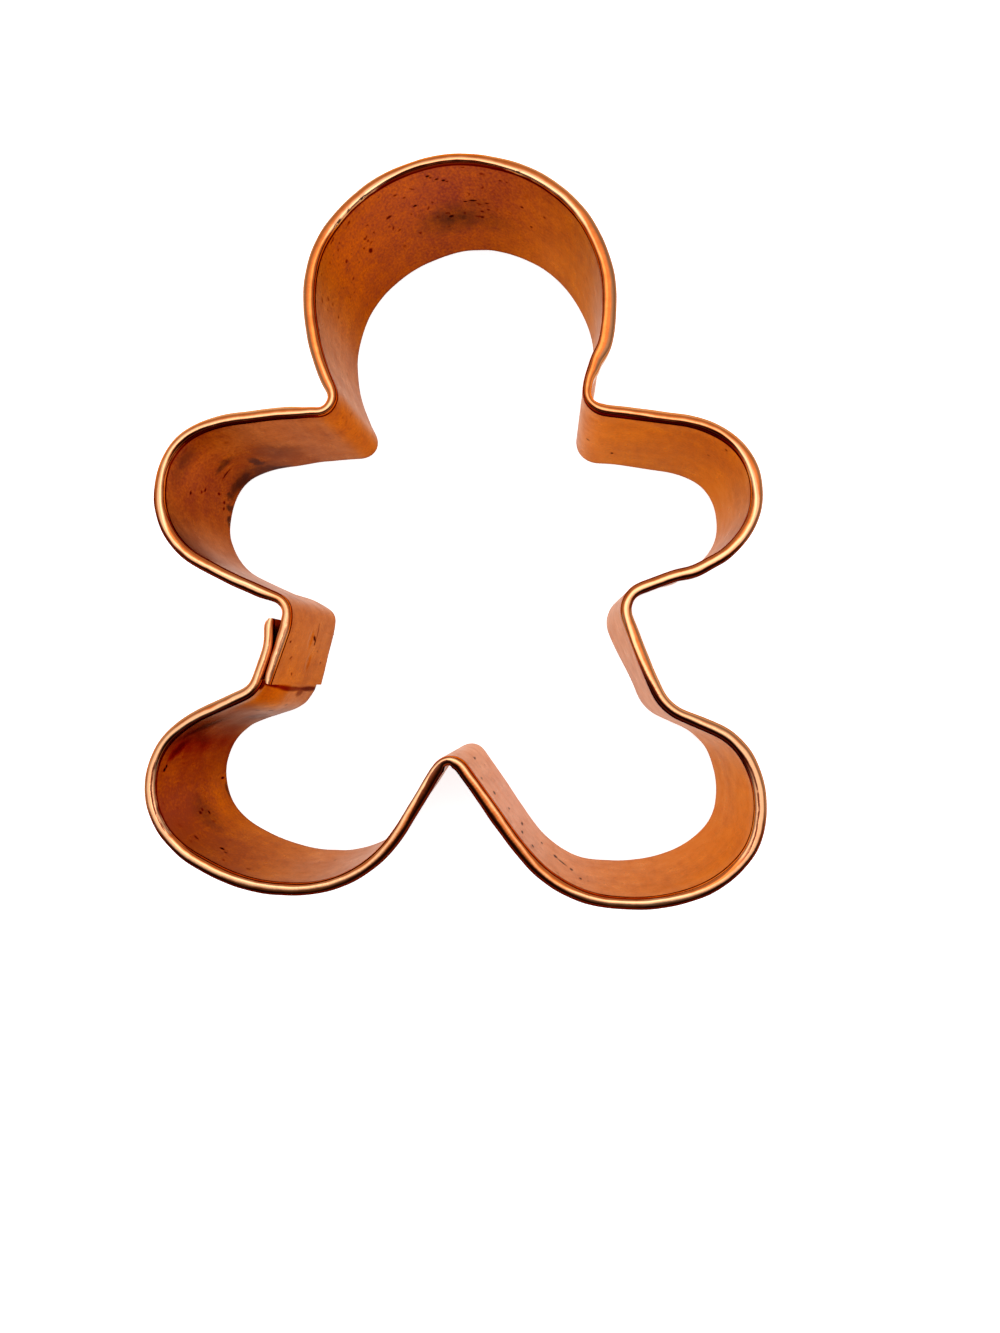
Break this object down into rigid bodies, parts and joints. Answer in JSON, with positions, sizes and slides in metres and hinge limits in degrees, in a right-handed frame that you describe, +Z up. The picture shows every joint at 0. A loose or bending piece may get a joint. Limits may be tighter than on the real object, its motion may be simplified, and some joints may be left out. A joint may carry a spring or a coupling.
{
  "type": "cookie cutter",
  "caption": "Gingerbread-figure cookie cutter bent from copper strip, with a rolled top rim, an open cutting edge below and a spot-welded lap at the waist.",
  "frame": {"origin": "centre of the overall box, on the plane of the cutting edge", "axes": "+X towards the arm on the side without the lap, +Y from the feet to the head, +Z up from the cutting edge to the rolled rim"},
  "size_m": [0.0736, 0.0897, 0.0254],
  "materials": {
    "copper": "satin copper with warm tarnish",
    "weld": "dull fused copper"
  },
  "bodies": {
    "root": {"copper_strip": "copper", "seam_spot_welds": "weld"}
  },
  "joints": []
}
